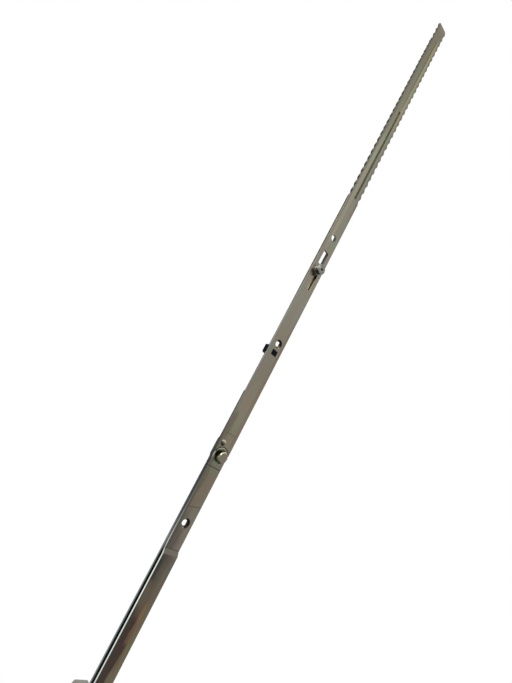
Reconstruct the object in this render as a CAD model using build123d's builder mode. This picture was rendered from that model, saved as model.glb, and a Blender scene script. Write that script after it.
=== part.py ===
from build123d import *
import os
from math import radians, sqrt

# Edge gear of a tilt-and-turn window, as it sits in the sash edge.
# +Z runs up the sash edge, +X points out of the edge (the locking cams stick out that way), and
# the handle spindle lies along Y. The origin is the middle of the two handle screws, on the
# spindle axis. All sizes are in millimetres.

# Handle, travel and rack
HANDLE_TURN = 90.0            # handle turn each way from the delivered middle position, degrees
ROD_STROKE = 18.0             # rod travel for that turn
TOOTH_ANGLE = 30.0            # degrees from one pinion tooth to the next
TOOTH_PAIRS = 4               # teeth on each side of the middle tooth
TOOTH_ROOT_R = 9.6
TOOTH_TIP_R = 13.0
TOOTH_ROOT_W = 2.4
TOOTH_TIP_W = 1.2
PINION_W = 5.0
RACK_WINDOW_L = 3.6           # window along the rod that takes one tooth
RACK_WINDOW_W = 6.4
SPINDLE_SQUARE = 7.0
SPINDLE_PLAY = 0.05
HUB_R = 7.0
HUB_PLAY = 0.05

# Strips, from the front of the faceplate backwards
BACKSET = 15.0                # spindle axis to the front of the faceplate
PLATE_W = 16.0                # main faceplate
UPPER_PLATE_W = 18.0
PLATE_T = 2.0
PLATE_EDGE = 0.3              # chamfer round the front of the faceplates
RAISE = 1.8                   # how far the faceplate stands out over the gear case
JOGGLE_L = 3.5
ROD_GAP = 0.4                 # faceplate to drive rod
ROD_T = 2.2
UPPER_ROD_W = 14.4
MAIN_ROD_W = 16.0
BACK_GAP = 0.25               # drive rod to what lies behind it
STOP_PLAY = 0.3               # free length left at each end of the travel

# Places along the edge, measured from the spindle axis
TOP_Z = 866.0                 # highest corner of the slanted upper end, on its +Y side
TOP_SLANT = 4.0
TOP_CORNER_R = 2.0            # at the low corner
TOP_TIP_R = 4.0               # at the high corner
UPPER_ROD_TOP_Z = 832.0
SMALL_HOLE_Z = 505.0
UPPER_CAM_Z = 462.0
UPPER_SCREW_Z = 371.0
UPPER_GUIDE_Z = 361.0
ROD_SPLICE_Z = 315.0
STUD_Z = 251.8
SEAM_Z = 241.0
MAIN_SCREW_Z = 190.0
RAISE_TOP_Z = 167.0
RAISE_LOW_Z = -77.0
LOWER_SCREW_Z = -100.0
LOWER_GUIDE_Z = -110.0
LOWER_CAM_Z = -180.0
END_SCREW_Z = -235.0
ROD_LOW_Z = -264.0
LOW_Z = -285.0
END_CORNER_R = 2.0            # lower corners of plate and rod, corners of the splice

# Toothed edges that the next fitting's coupling grips, and the groove between them
SCALLOP_PITCH = 10.0
SCALLOP_COUNT = 30
SCALLOP_LOW_Z = 565.0
SCALLOP_R = 6.0
SCALLOP_DEPTH = 1.3
GROOVE_Y = 0.5
GROOVE_W = 2.6
GROOVE_LOW_Z = 562.5
GROOVE_STEP_Z = 705.0         # below this the groove goes right through the plate
GROOVE_TOP_Z = 835.0
GROOVE_DEPTH = 0.8

# Holes, screws and slots
SCREW_HOLE_D = 5.2
SCREW_HEAD_D = 8.8
SMALL_HOLE_D = 7.5
ROD_SLOT_W = 7.8
ROD_SLOT_CORNER_R = 1.5
CUT_DEPTH = 6.0               # deep enough to go right through a plate

# Locking cams
CAM_TONGUE_W = 7.0
CAM_TONGUE_L = 12.0
CAM_SLOT_PLAY = 0.3
CAM_SLOT_CORNER_R = 1.5
CAM_COLLAR_D = 11.0
CAM_COLLAR_H = 1.6
CAM_SPIGOT_D = 7.0
CAM_SPIGOT_PLAY = 0.03
CAM_PIN_D = 4.0
CAM_PIN_PLAY = 0.05
CAM_OFFSET = 0.8              # how far the roller's axis stands off the pin's axis
CAM_JOURNAL_D = 6.0
CAM_HEAD_D = 8.0
CAM_HEAD_H = 1.2
CAM_HEX = 3.0
CAM_HEX_DEPTH = 2.4
ROLLER_D = 10.4
ROLLER_H = 4.0
ROLLER_PLAY = 0.05
RUNNING_GAP = 0.2             # between faces that turn or slide past each other
RIVET_HEAD_H = 0.8

# Joint between the two faceplates
EYELET_BORE_D = 13.0
STUD_D = 10.4
STUD_H = 4.8
STUD_EDGE = 0.7
STUD_FLANGE_PLAY = 0.2
STUD_FLANGE_H = 0.8
STUD_SLEEVE_D = 6.4
STUD_SHANK_D = 4.5
SOCKET_PLAY = 0.6
HORN_W = 0.9
DOME_Y = -4.2
DOME_GAP = 4.0                # main faceplate's round end to the middle of the domed rivet
DOME_D = 6.0
DOME_H = 1.8
DOME_SLEEVE_D = 3.2
DOME_SHANK_D = 2.4
JOINT_SLOT_W = 12.0
JOINT_PLATE_W = 14.0
JOINT_PLATE_T = 2.0
JOINT_PLATE_OVER = 7.0
SEAM_W = 0.5
SEAM_DEPTH = 0.3

# Plastic rod guides
GUIDE_L = 9.2
GUIDE_LEG = 1.9
GUIDE_SIDE_PLAY = 0.3
GUIDE_T = 2.0
GUIDE_CORNER_R = 1.5
PEG_W = 7.0
PEG_L = 5.4
PEG_PLAY = 0.2
PEG_SINK = 0.1

# Rod splice
SPLICE_L = 38.0
SPLICE_W = 10.0
SPLICE_T = 2.0
SPLICE_RIVET_D = 4.0
SPLICE_RIVET_STEP = 12.0
SPLICE_HEAD_D = 7.0
RIVET_PLAY = 0.03

# Gear case
CASE_W = 12.4
CASE_L = 100.0
CASE_BACK_X = -15.0
CASE_TAPER_L = 11.0
CASE_TAPER_X = 5.0
CASE_EDGE = 0.6
CASE_CORNER_R = 2.0
PINION_PLAY = 0.4
HANDLE_SCREW_STEP = 43.0
HANDLE_SCREW_CORE_D = 4.2     # core hole of an M5 thread
BUSH_D = 8.0
BUSH_COLLAR_D = 9.6
BUSH_COLLAR_W = 2.8
BOSS_INSET = 4.0              # case's end to the middle of its boss
BOSS_D = 7.0
BOSS_SLOT_W = 8.0
CASE_RIVET_D = 4.0
CASE_RIVET_HEAD_D = 7.0
CASE_RIVET_TIP_X = 2.0
SHELL_RIVET_D = 3.0
SHELL_RIVET_HEAD_D = 5.0
SHELL_RIVET_HEAD_H = 0.8
SHELL_RIVET_FRONT = (5.5, 33.0)
SHELL_RIVET_BACK = (-10.0, 36.0)
PANEL_DEPTH = 0.6
PANEL_W = 14.0
PANEL_L = 6.0
PANEL_Z = 42.0
PANEL_X = -3.0
PANEL_CORNER_R = 1.5

# Places that follow their neighbours
DOME_RIVET_Z = STUD_Z + PLATE_W / 2 + DOME_GAP
BOSS_Z = CASE_L / 2 - BOSS_INSET

# Levels along X that follow from the strips
face_x = BACKSET
plate_back_x = face_x - PLATE_T
rod_front_x = plate_back_x - ROD_GAP
rod_back_x = rod_front_x - ROD_T
behind_x = rod_back_x - BACK_GAP
raised_back_x = plate_back_x + RAISE
raised_face_x = face_x + RAISE

# The rack's pitch radius turns the handle's quarter turn into the stroke
pitch_r = ROD_STROKE / radians(HANDLE_TURN)
rack_step = pitch_r * radians(TOOTH_ANGLE)
reach = ROD_STROKE + STOP_PLAY


def at_x(x):
    """Plane across X, seen from the front: local x is Y and local y is Z."""
    return Plane(origin=(x, 0, 0), x_dir=(0, 1, 0), z_dir=(1, 0, 0))


def at_y(y):
    """Plane across Y: local x is X and local y is Z, and it extrudes towards -Y."""
    return Plane(origin=(0, y, 0), x_dir=(1, 0, 0), z_dir=(0, -1, 0))


def finish(part, name):
    """Label one finished piece and write it to its own file."""
    part.label = name
    export_step(part, f"parts/{name}.step")


def upright_slot(low, high, width, mode=Mode.SUBTRACT):
    """Round-ended slot along the strip, from low to high, in a sketch at_x."""
    with Locations((0, (low + high) / 2)):
        SlotOverall(high - low, width, rotation=90, mode=mode)


def scallops(width):
    """Rows of shallow round notches on both edges of a strip this wide."""
    row_z = [SCALLOP_LOW_Z + i * SCALLOP_PITCH for i in range(SCALLOP_COUNT)]
    reach_y = width / 2 + SCALLOP_R - SCALLOP_DEPTH
    with Locations(*[(side * reach_y, z) for side in (-1, 1) for z in row_z]):
        Circle(SCALLOP_R, mode=Mode.SUBTRACT)


def clear_slot(features, width=ROD_SLOT_W):
    """Rod slot that clears fixed features, each (z, half length), over the whole travel."""
    low = min(z - half for z, half in features) - reach
    high = max(z + half for z, half in features) + reach
    with Locations((0, (low + high) / 2)):
        RectangleRounded(width, high - low, ROD_SLOT_CORNER_R, mode=Mode.SUBTRACT)


def countersunk(z):
    """Countersunk screw hole in a faceplate, from its front face."""
    with Locations(at_x(face_x)):
        with Locations((0, z)):
            CounterSinkHole(SCREW_HOLE_D / 2, SCREW_HEAD_D / 2, CUT_DEPTH, counter_sink_angle=90)


def cam_slot_sketch(z):
    """Slot with rounded corners in a faceplate, for one cam's tongue over the whole travel."""
    half = ROD_STROKE + CAM_TONGUE_L / 2 + CAM_SLOT_PLAY
    with Locations((0, z)):
        RectangleRounded(CAM_TONGUE_W + 2 * CAM_SLOT_PLAY, 2 * half, CAM_SLOT_CORNER_R, mode=Mode.SUBTRACT)


def guide_window_sketch(z):
    """Square window in a faceplate for a guide's peg."""
    with Locations((0, z)):
        Rectangle(PEG_W + 2 * PEG_PLAY, PEG_L + 2 * PEG_PLAY, mode=Mode.SUBTRACT)


def turned(levels, y, z):
    """Turned piece about an axis along X, from (radius, x from, x to) steps."""
    corners = [(x, radius) for radius, x_from, x_to in levels for x in (x_from, x_to)]
    with BuildSketch(Plane(origin=(0, y, z), x_dir=(1, 0, 0), z_dir=(0, -1, 0))) as profile:
        with BuildLine():
            Polyline((corners[0][0], 0), *corners, (corners[-1][0], 0), close=True)
        make_face()
    revolve(profile.sketch, axis=Axis((0, y, z), (1, 0, 0)))


# Upper faceplate: slanted tip, toothed edges, groove, cam slot, screw hole and a socket that
# takes the round end of the main faceplate.
socket_r = PLATE_W / 2 + SOCKET_PLAY
horn_y = UPPER_PLATE_W / 2 - HORN_W
horn_z = STUD_Z + sqrt(socket_r ** 2 - horn_y ** 2)

with BuildPart() as upper_faceplate:
    with BuildSketch(at_x(plate_back_x)) as upper_outline:
        with BuildLine():
            Polyline(
                (-UPPER_PLATE_W / 2, horn_z),
                (UPPER_PLATE_W / 2, horn_z),
                (UPPER_PLATE_W / 2, TOP_Z),
                (-UPPER_PLATE_W / 2, TOP_Z - TOP_SLANT),
                close=True,
            )
        make_face()
        fillet(upper_outline.vertices().sort_by(Axis.Y)[-2], TOP_CORNER_R)
        fillet(upper_outline.vertices().sort_by(Axis.Y)[-1], TOP_TIP_R)
        scallops(UPPER_PLATE_W)
        with Locations((0, STUD_Z)):
            Circle(socket_r, mode=Mode.SUBTRACT)
        with Locations((GROOVE_Y, (GROOVE_LOW_Z + GROOVE_STEP_Z) / 2)):
            Rectangle(GROOVE_W, GROOVE_STEP_Z - GROOVE_LOW_Z, mode=Mode.SUBTRACT)
        with Locations((0, SMALL_HOLE_Z)):
            Circle(SMALL_HOLE_D / 2, mode=Mode.SUBTRACT)
        with Locations((DOME_Y, DOME_RIVET_Z)):
            Circle(DOME_SHANK_D / 2 + RIVET_PLAY, mode=Mode.SUBTRACT)
        cam_slot_sketch(UPPER_CAM_Z)
        guide_window_sketch(UPPER_GUIDE_Z)
    extrude(amount=PLATE_T)
    front_edges = upper_faceplate.faces().sort_by(Axis.X)[-1].outer_wire().edges()
    chamfer(front_edges, PLATE_EDGE)
    with BuildSketch(at_x(face_x)):
        with Locations((GROOVE_Y, (GROOVE_STEP_Z + GROOVE_TOP_Z) / 2)):
            Rectangle(GROOVE_W, GROOVE_TOP_Z - GROOVE_STEP_Z)
    extrude(amount=-GROOVE_DEPTH, mode=Mode.SUBTRACT)
    countersunk(UPPER_SCREW_Z)
finish(upper_faceplate.part, "upper_faceplate")


# Main faceplate: an eyelet end round the stud, and a raised stretch over the gear case that
# gives the pinion's teeth room.
def plate_line(x):
    """Side line of the main faceplate with its two joggles, x being its level outside them."""
    return [
        (x, STUD_Z + PLATE_W / 2),
        (x, RAISE_TOP_Z),
        (x + RAISE, RAISE_TOP_Z - JOGGLE_L),
        (x + RAISE, RAISE_LOW_Z + JOGGLE_L),
        (x, RAISE_LOW_Z),
        (x, LOW_Z),
    ]


with BuildPart() as main_faceplate:
    with BuildSketch(at_y(0)):
        with BuildLine():
            Polyline(*plate_line(face_x), *reversed(plate_line(plate_back_x)), close=True)
        make_face()
    extrude(amount=PLATE_W / 2, both=True)
    with BuildSketch(at_x(plate_back_x)) as main_outline:
        with Locations((0, (STUD_Z + LOW_Z) / 2)):
            Rectangle(PLATE_W, STUD_Z - LOW_Z)
        fillet(main_outline.vertices().group_by(Axis.Y)[0], END_CORNER_R)
        with Locations((0, STUD_Z)):
            Circle(PLATE_W / 2)
            Circle(EYELET_BORE_D / 2, mode=Mode.SUBTRACT)
        cam_slot_sketch(LOWER_CAM_Z)
        guide_window_sketch(LOWER_GUIDE_Z)
    extrude(amount=PLATE_T + RAISE, mode=Mode.INTERSECT)
    with BuildSketch(at_x(face_x)):
        with Locations((0, SEAM_Z)):
            Rectangle(PLATE_W, SEAM_W)
    extrude(amount=-SEAM_DEPTH, mode=Mode.SUBTRACT)
    for screw_z in (MAIN_SCREW_Z, LOWER_SCREW_Z, END_SCREW_Z):
        countersunk(screw_z)
    with Locations(at_x(raised_face_x)):
        with Locations((0, BOSS_Z), (0, -BOSS_Z)):
            CounterSinkHole(
                CASE_RIVET_D / 2 + RIVET_PLAY,
                CASE_RIVET_HEAD_D / 2 + RIVET_PLAY,
                CUT_DEPTH,
                counter_sink_angle=90,
            )
finish(main_faceplate.part, "main_faceplate")


# Drive rods: the upper one is toothed like the plate above it, the main one carries the rack.
screw_half = SCREW_HOLE_D / 2
peg_half = PEG_L / 2 + ROD_SLOT_CORNER_R     # the peg's square corners stay off the slot's round ones
spigot_hole_r = CAM_SPIGOT_D / 2 + CAM_SPIGOT_PLAY
splice_hole_r = SPLICE_RIVET_D / 2 + RIVET_PLAY
splice_z = [ROD_SPLICE_Z + side * SPLICE_RIVET_STEP for side in (-1, 1)]

with BuildPart() as upper_drive_rod:
    with BuildSketch(at_x(rod_back_x)) as upper_rod_outline:
        with Locations((0, (ROD_SPLICE_Z + UPPER_ROD_TOP_Z) / 2)):
            Rectangle(UPPER_ROD_W, UPPER_ROD_TOP_Z - ROD_SPLICE_Z - ROD_GAP)
        scallops(UPPER_ROD_W)
        slot_low = UPPER_CAM_Z + spigot_hole_r + CAM_TONGUE_L / 2
        upright_slot(slot_low, SMALL_HOLE_Z + SMALL_HOLE_D / 2 + reach, ROD_SLOT_W)
        clear_slot([(UPPER_SCREW_Z, screw_half), (UPPER_GUIDE_Z, peg_half)])
        with Locations((0, UPPER_CAM_Z)):
            Circle(spigot_hole_r, mode=Mode.SUBTRACT)
        with Locations((0, splice_z[1])):
            Circle(splice_hole_r, mode=Mode.SUBTRACT)
    extrude(amount=ROD_T)
finish(upper_drive_rod.part, "upper_drive_rod")

window_inner = TOOTH_PAIRS * rack_step - RACK_WINDOW_L / 2
boss_outer = BOSS_Z + BOSS_D / 2 + reach

with BuildPart() as main_drive_rod:
    with BuildSketch(at_x(rod_back_x)) as main_rod_outline:
        with Locations((0, (ROD_SPLICE_Z + ROD_LOW_Z) / 2)):
            Rectangle(MAIN_ROD_W, ROD_SPLICE_Z - ROD_LOW_Z - ROD_GAP)
        fillet(main_rod_outline.vertices().group_by(Axis.Y)[0], END_CORNER_R)
        joint = [(STUD_Z, STUD_SLEEVE_D / 2), (DOME_RIVET_Z, DOME_SLEEVE_D / 2 + ROD_SLOT_CORNER_R)]
        clear_slot(joint, JOINT_SLOT_W)
        clear_slot([(MAIN_SCREW_Z, screw_half)])
        clear_slot([(LOWER_SCREW_Z, screw_half), (LOWER_GUIDE_Z, peg_half)])
        clear_slot([(END_SCREW_Z, screw_half)])
        with Locations(*[(0, i * rack_step) for i in range(1 - TOOTH_PAIRS, TOOTH_PAIRS)]):
            Rectangle(RACK_WINDOW_W, RACK_WINDOW_L, mode=Mode.SUBTRACT)
        for side in (-1, 1):
            with Locations((0, side * (window_inner + boss_outer) / 2)):
                Rectangle(BOSS_SLOT_W, boss_outer - window_inner, mode=Mode.SUBTRACT)
        with Locations((0, LOWER_CAM_Z)):
            Circle(spigot_hole_r, mode=Mode.SUBTRACT)
        with Locations((0, splice_z[0])):
            Circle(splice_hole_r, mode=Mode.SUBTRACT)
    extrude(amount=ROD_T)
finish(main_drive_rod.part, "main_drive_rod")


# Splice plate behind the rods, and its rivets
with BuildPart() as rod_splice_plate:
    with BuildSketch(at_x(rod_back_x - SPLICE_T)) as splice_outline:
        with Locations((0, ROD_SPLICE_Z)):
            Rectangle(SPLICE_W, SPLICE_L)
        fillet(splice_outline.vertices(), END_CORNER_R)
        with Locations(*[(0, z) for z in splice_z]):
            Circle(splice_hole_r, mode=Mode.SUBTRACT)
    extrude(amount=SPLICE_T)
finish(rod_splice_plate.part, "rod_splice_plate")

splice_back_x = rod_back_x - SPLICE_T
with BuildPart() as rod_splice_rivets:
    for z in splice_z:
        turned(
            [
                (SPLICE_HEAD_D / 2, splice_back_x - RIVET_HEAD_H, splice_back_x),
                (SPLICE_RIVET_D / 2, splice_back_x, rod_front_x),
            ],
            0,
            z,
        )
finish(rod_splice_rivets.part, "rod_splice_rivets")


# Joint plate behind the rod. It ties the two faceplates together through the rod's slot.
joint_back_x = behind_x - JOINT_PLATE_T
with BuildPart() as joint_plate:
    with BuildSketch(at_x(joint_back_x)):
        upright_slot(
            STUD_Z - JOINT_PLATE_OVER, DOME_RIVET_Z + JOINT_PLATE_OVER, JOINT_PLATE_W, Mode.ADD
        )
        with Locations((0, STUD_Z)):
            Circle(STUD_SHANK_D / 2 + RIVET_PLAY, mode=Mode.SUBTRACT)
        with Locations((DOME_Y, DOME_RIVET_Z)):
            Circle(DOME_SHANK_D / 2 + RIVET_PLAY, mode=Mode.SUBTRACT)
    extrude(amount=JOINT_PLATE_T)
finish(joint_plate.part, "joint_plate")

with BuildPart() as locating_stud:
    flange_r = EYELET_BORE_D / 2 - STUD_FLANGE_PLAY
    turned(
        [
            (STUD_SLEEVE_D / 2, joint_back_x - RIVET_HEAD_H, joint_back_x),
            (STUD_SHANK_D / 2, joint_back_x, behind_x),
            (STUD_SLEEVE_D / 2, behind_x, plate_back_x),
            (flange_r, plate_back_x, plate_back_x + STUD_FLANGE_H),
            (STUD_D / 2, plate_back_x + STUD_FLANGE_H, face_x + STUD_H),
        ],
        0,
        STUD_Z,
    )
    chamfer(locating_stud.faces().sort_by(Axis.X)[-1].edges(), STUD_EDGE)
finish(locating_stud.part, "locating_stud")

with BuildPart() as domed_rivet:
    turned(
        [
            (DOME_SLEEVE_D / 2, joint_back_x - RIVET_HEAD_H, joint_back_x),
            (DOME_SHANK_D / 2, joint_back_x, behind_x),
            (DOME_SLEEVE_D / 2, behind_x, plate_back_x),
            (DOME_SHANK_D / 2, plate_back_x, face_x),
        ],
        DOME_Y,
        DOME_RIVET_Z,
    )
    dome_axis = Axis((0, DOME_Y, DOME_RIVET_Z), (1, 0, 0))
    with BuildSketch(Plane(origin=(face_x, DOME_Y, DOME_RIVET_Z), x_dir=(1, 0, 0), z_dir=(0, -1, 0))):
        with BuildLine():
            TangentArc((DOME_H, 0), (0, DOME_D / 2), tangent=(0, 1))
            Line((0, DOME_D / 2), (0, 0))
            Line((0, 0), (DOME_H, 0))
        make_face()
    revolve(axis=dome_axis)
finish(domed_rivet.part, "domed_rivet")


# Plastic rod guides: a bridge behind the rod, a leg on each side of it, and a peg that goes
# through the rod's slot into the window of the faceplate.
def rod_guide(name, z, rod_w):
    """Guide for a rod of this width, its peg in the middle of the faceplate's window."""
    inner_y = rod_w / 2 + GUIDE_SIDE_PLAY
    outer_y = inner_y + GUIDE_LEG
    with BuildPart() as guide:
        with BuildSketch(at_x(behind_x - GUIDE_T)) as bridge:
            with Locations((0, z)):
                Rectangle(2 * outer_y, GUIDE_L)
            fillet(bridge.vertices(), GUIDE_CORNER_R)
        extrude(amount=GUIDE_T)
        with BuildSketch(at_x(behind_x)) as legs:
            with Locations((0, z)):
                Rectangle(2 * outer_y, GUIDE_L)
            fillet(legs.vertices(), GUIDE_CORNER_R)
            with Locations((0, z)):
                Rectangle(2 * inner_y, GUIDE_L, mode=Mode.SUBTRACT)
        extrude(amount=plate_back_x - behind_x)
        with BuildSketch(at_x(behind_x)):
            with Locations((0, z)):
                Rectangle(PEG_W, PEG_L)
        extrude(amount=face_x - PEG_SINK - behind_x)
        back = guide.faces().sort_by(Axis.X)[0]
        chamfer(back.edges(), PLATE_EDGE)
    finish(guide.part, name)


rod_guide("upper_rod_guide", UPPER_GUIDE_Z, UPPER_ROD_W)
rod_guide("lower_rod_guide", LOWER_GUIDE_Z, MAIN_ROD_W)


# Locking cams: a riveted base with a tongue in the faceplate's slot, an eccentric pin with a
# hexagon socket, and a roller that turns on the pin.
collar_back_x = face_x + RUNNING_GAP
collar_front_x = collar_back_x + CAM_COLLAR_H
roller_back_x = collar_front_x + RUNNING_GAP
roller_front_x = roller_back_x + ROLLER_H
head_back_x = roller_front_x - CAM_HEAD_H
spigot_back_x = rod_back_x - RIVET_HEAD_H
pin_back_x = spigot_back_x - RIVET_HEAD_H


def locking_cam(name, z):
    """One cam: base riveted into the drive rod, eccentric pin, and the roller round it."""
    journal_z = z + CAM_OFFSET
    with BuildPart() as base:
        turned(
            [
                (CAM_SPIGOT_D / 2 + RIVET_HEAD_H, spigot_back_x, rod_back_x),
                (CAM_SPIGOT_D / 2, rod_back_x, rod_front_x),
            ],
            0,
            z,
        )
        with BuildSketch(at_x(rod_front_x)):
            upright_slot(z - CAM_TONGUE_L / 2, z + CAM_TONGUE_L / 2, CAM_TONGUE_W, Mode.ADD)
        extrude(amount=collar_back_x - rod_front_x)
        turned([(CAM_COLLAR_D / 2, collar_back_x, collar_front_x)], 0, z)
        chamfer(base.faces().sort_by(Axis.X)[-1].edges(), PLATE_EDGE)
        with BuildSketch(at_x(spigot_back_x)):
            with Locations((0, z)):
                Circle(CAM_PIN_D / 2 + CAM_PIN_PLAY)
        extrude(amount=collar_front_x - spigot_back_x, mode=Mode.SUBTRACT)
    finish(base.part, f"{name}_cam_base")

    with BuildPart() as pin:
        turned(
            [
                (CAM_PIN_D / 2 + RIVET_HEAD_H, pin_back_x - RUNNING_GAP, spigot_back_x - RUNNING_GAP),
                (CAM_PIN_D / 2, spigot_back_x - RUNNING_GAP, collar_front_x + RUNNING_GAP / 2),
            ],
            0,
            z,
        )
        turned(
            [
                (CAM_JOURNAL_D / 2, collar_front_x + RUNNING_GAP / 2, head_back_x),
                (CAM_HEAD_D / 2, head_back_x, roller_front_x),
            ],
            0,
            journal_z,
        )
        chamfer(pin.faces().sort_by(Axis.X)[-1].edges(), PLATE_EDGE)
        with BuildSketch(at_x(roller_front_x)):
            with Locations((0, journal_z)):
                RegularPolygon(CAM_HEX / 2, 6, major_radius=False)
        extrude(amount=-CAM_HEX_DEPTH, mode=Mode.SUBTRACT)
    finish(pin.part, f"{name}_cam_pin")

    with BuildPart() as roller:
        turned([(ROLLER_D / 2, roller_back_x, roller_front_x)], 0, journal_z)
        chamfer(roller.faces().sort_by(Axis.X)[-1].edges(), PLATE_EDGE)
        with BuildSketch(at_x(roller_back_x)):
            with Locations((0, journal_z)):
                Circle(CAM_JOURNAL_D / 2 + ROLLER_PLAY)
        extrude(amount=ROLLER_H, mode=Mode.SUBTRACT)
        with BuildSketch(at_x(head_back_x - ROLLER_PLAY)):
            with Locations((0, journal_z)):
                Circle(CAM_HEAD_D / 2 + ROLLER_PLAY)
        extrude(amount=ROLLER_H, mode=Mode.SUBTRACT)
    finish(roller.part, f"{name}_cam_roller")


locking_cam("upper", UPPER_CAM_Z)
locking_cam("lower", LOWER_CAM_Z)


# Gear case: two cast halves that meet on the middle plane of the edge.
handle_z = HANDLE_SCREW_STEP / 2
half_w = CASE_W / 2
shell_rivet_places = [
    (x, side * z) for x, z in (SHELL_RIVET_FRONT, SHELL_RIVET_BACK) for side in (-1, 1)
]


def case_half(name, side):
    """Half of the case; side 1 lies towards -Y and side -1 towards +Y."""
    with BuildPart() as half:
        with BuildSketch(at_y(0)) as outline:
            with BuildLine():
                Polyline(
                    (behind_x, CASE_L / 2),
                    (CASE_BACK_X + CASE_TAPER_X, CASE_L / 2),
                    (CASE_BACK_X, CASE_L / 2 - CASE_TAPER_L),
                    (CASE_BACK_X, CASE_TAPER_L - CASE_L / 2),
                    (CASE_BACK_X + CASE_TAPER_X, -CASE_L / 2),
                    (behind_x, -CASE_L / 2),
                    close=True,
                )
            make_face()
            fillet(outline.vertices(), CASE_CORNER_R)
        extrude(amount=side * half_w)
        outer = half.faces().sort_by(Axis.Y)[0 if side > 0 else -1]
        chamfer(outer.edges(), CASE_EDGE)
        outer_plane = at_y(-side * half_w)
        with BuildSketch(outer_plane):
            with Locations((PANEL_X, PANEL_Z), (PANEL_X, -PANEL_Z)):
                RectangleRounded(PANEL_W, PANEL_L, PANEL_CORNER_R)
        extrude(amount=-side * PANEL_DEPTH, mode=Mode.SUBTRACT)
        with BuildSketch(at_y(0)):
            Circle(HUB_R + HUB_PLAY)
            with Locations((0, handle_z), (0, -handle_z)):
                Circle(BUSH_D / 2 + RIVET_PLAY)
            with Locations(*shell_rivet_places):
                Circle(SHELL_RIVET_D / 2 + RIVET_PLAY)
        extrude(amount=side * half_w, mode=Mode.SUBTRACT)
        with BuildSketch(at_y(0)):
            Circle(TOOTH_TIP_R + PINION_PLAY)
        extrude(amount=side * (PINION_W / 2 + PINION_PLAY), mode=Mode.SUBTRACT)
        with BuildSketch(at_y(0)):
            with Locations((0, handle_z), (0, -handle_z)):
                Circle(BUSH_COLLAR_D / 2 + RIVET_PLAY)
        extrude(amount=side * (BUSH_COLLAR_W / 2 + RIVET_PLAY), mode=Mode.SUBTRACT)
        with BuildSketch(outer_plane):
            with Locations(*shell_rivet_places):
                Circle(SHELL_RIVET_HEAD_D / 2 + RIVET_PLAY)
        extrude(amount=-side * SHELL_RIVET_HEAD_H, mode=Mode.SUBTRACT)
        with BuildSketch(at_x(behind_x)):
            with Locations((0, BOSS_Z), (0, -BOSS_Z)):
                Circle(BOSS_D / 2)
        extrude(amount=raised_back_x - behind_x)
        with BuildSketch(at_x(CASE_RIVET_TIP_X)):
            with Locations((0, BOSS_Z), (0, -BOSS_Z)):
                Circle(CASE_RIVET_D / 2 + RIVET_PLAY)
        extrude(amount=raised_back_x - CASE_RIVET_TIP_X, mode=Mode.SUBTRACT)
        keep = Plane.XZ if side > 0 else Plane.ZX
        split(bisect_by=keep, keep=Keep.TOP)
    finish(half.part, name)


case_half("case_left_half", 1)
case_half("case_right_half", -1)

with BuildPart() as handle_screw_bushes:
    with BuildSketch(at_y(0)):
        with Locations((0, handle_z), (0, -handle_z)):
            Circle(BUSH_D / 2)
    extrude(amount=half_w, both=True)
    with BuildSketch(at_y(0)):
        with Locations((0, handle_z), (0, -handle_z)):
            Circle(BUSH_COLLAR_D / 2)
    extrude(amount=BUSH_COLLAR_W / 2, both=True)
    with BuildSketch(at_y(0)):
        with Locations((0, handle_z), (0, -handle_z)):
            Circle(HANDLE_SCREW_CORE_D / 2)
    extrude(amount=half_w, both=True, mode=Mode.SUBTRACT)
finish(handle_screw_bushes.part, "handle_screw_bushes")

with BuildPart() as shell_rivets:
    with BuildSketch(at_y(0)):
        with Locations(*shell_rivet_places):
            Circle(SHELL_RIVET_D / 2)
    extrude(amount=half_w, both=True)
    for side in (-1, 1):
        with BuildSketch(at_y(side * half_w)):
            with Locations(*shell_rivet_places):
                Circle(SHELL_RIVET_HEAD_D / 2)
        extrude(amount=side * (SHELL_RIVET_HEAD_H - RIVET_PLAY))
finish(shell_rivets.part, "shell_rivets")

with BuildPart() as case_rivets:
    head_depth = (CASE_RIVET_HEAD_D - CASE_RIVET_D) / 2
    for z in (-BOSS_Z, BOSS_Z):
        turned([(CASE_RIVET_D / 2, CASE_RIVET_TIP_X + RIVET_PLAY, raised_face_x)], 0, z)
        with BuildSketch(at_x(raised_face_x)):
            with Locations((0, z)):
                Circle(CASE_RIVET_HEAD_D / 2)
        extrude(amount=-head_depth, taper=45)
finish(case_rivets.part, "case_rivets")


# Follower: hub with the square hole, and a sector of teeth that reach through the rod's windows
with BuildPart() as follower:
    with BuildSketch(at_y(0)):
        Circle(HUB_R)
    extrude(amount=half_w - RUNNING_GAP / 2, both=True)
    with BuildSketch(at_y(0)):
        Circle(TOOTH_ROOT_R)
        tooth_span = 2 * TOOTH_PAIRS * TOOTH_ANGLE
        with PolarLocations(0, 2 * TOOTH_PAIRS + 1, -tooth_span / 2, tooth_span):
            with BuildLine():
                Polyline(
                    (0, -TOOTH_ROOT_W / 2),
                    (TOOTH_ROOT_R, -TOOTH_ROOT_W / 2),
                    (TOOTH_TIP_R, -TOOTH_TIP_W / 2),
                    (TOOTH_TIP_R, TOOTH_TIP_W / 2),
                    (TOOTH_ROOT_R, TOOTH_ROOT_W / 2),
                    (0, TOOTH_ROOT_W / 2),
                    close=True,
                )
            make_face()
    extrude(amount=PINION_W / 2, both=True)
    with BuildSketch(at_y(0)):
        Rectangle(SPINDLE_SQUARE + 2 * SPINDLE_PLAY, SPINDLE_SQUARE + 2 * SPINDLE_PLAY)
    extrude(amount=half_w, both=True, mode=Mode.SUBTRACT)
finish(follower.part, "follower")
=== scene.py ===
from math import radians
import bpy
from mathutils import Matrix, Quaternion, Vector


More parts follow.
